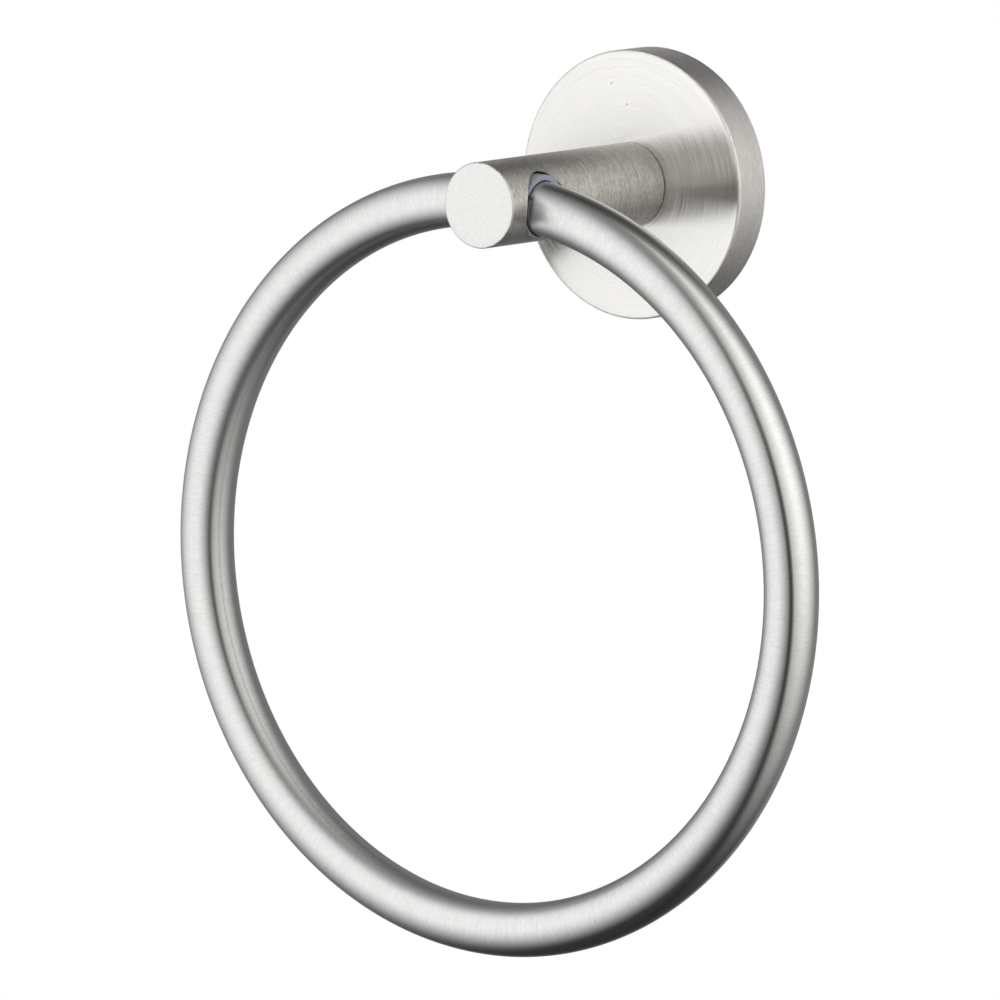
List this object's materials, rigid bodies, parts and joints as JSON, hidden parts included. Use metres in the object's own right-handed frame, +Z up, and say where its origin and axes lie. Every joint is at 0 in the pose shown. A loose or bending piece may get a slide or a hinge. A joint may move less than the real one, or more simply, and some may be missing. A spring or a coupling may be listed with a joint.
{
  "type": "towel ring",
  "caption": "Wall-mounted towel ring in brushed stainless steel: a round tube hoop swings in a nylon bush through a round post on a round wall rosette.",
  "frame": {"origin": "centre of the rosette on the wall plane, midway between the bracket's two slots", "axes": "+Y into the wall, the post stands out along -Y, +Z up, +X to the right of someone facing the wall"},
  "size_m": [0.1594, 0.0597, 0.1816],
  "materials": {
    "brushed_stainless": "fine brushed",
    "nylon": "translucent satin",
    "pressed_steel": "mill finish",
    "screw_steel": "turned"
  },
  "bodies": {
    "fixture": {"rosette": "brushed_stainless", "post": "brushed_stainless", "post_screw": "screw_steel", "lock_washer": "screw_steel", "wall_bracket": "pressed_steel", "grub_screw": "screw_steel"},
    "swing_ring": {"ring": "brushed_stainless", "bush": "nylon"}
  },
  "joints": [
    {"name": "ring_swing", "type": "hinge", "parent": "fixture", "child": "swing_ring", "pos_m": [0, -0.0482, -0.0002], "axis": [-1, 0, 0], "range_deg": [-16, 196]}
  ]
}
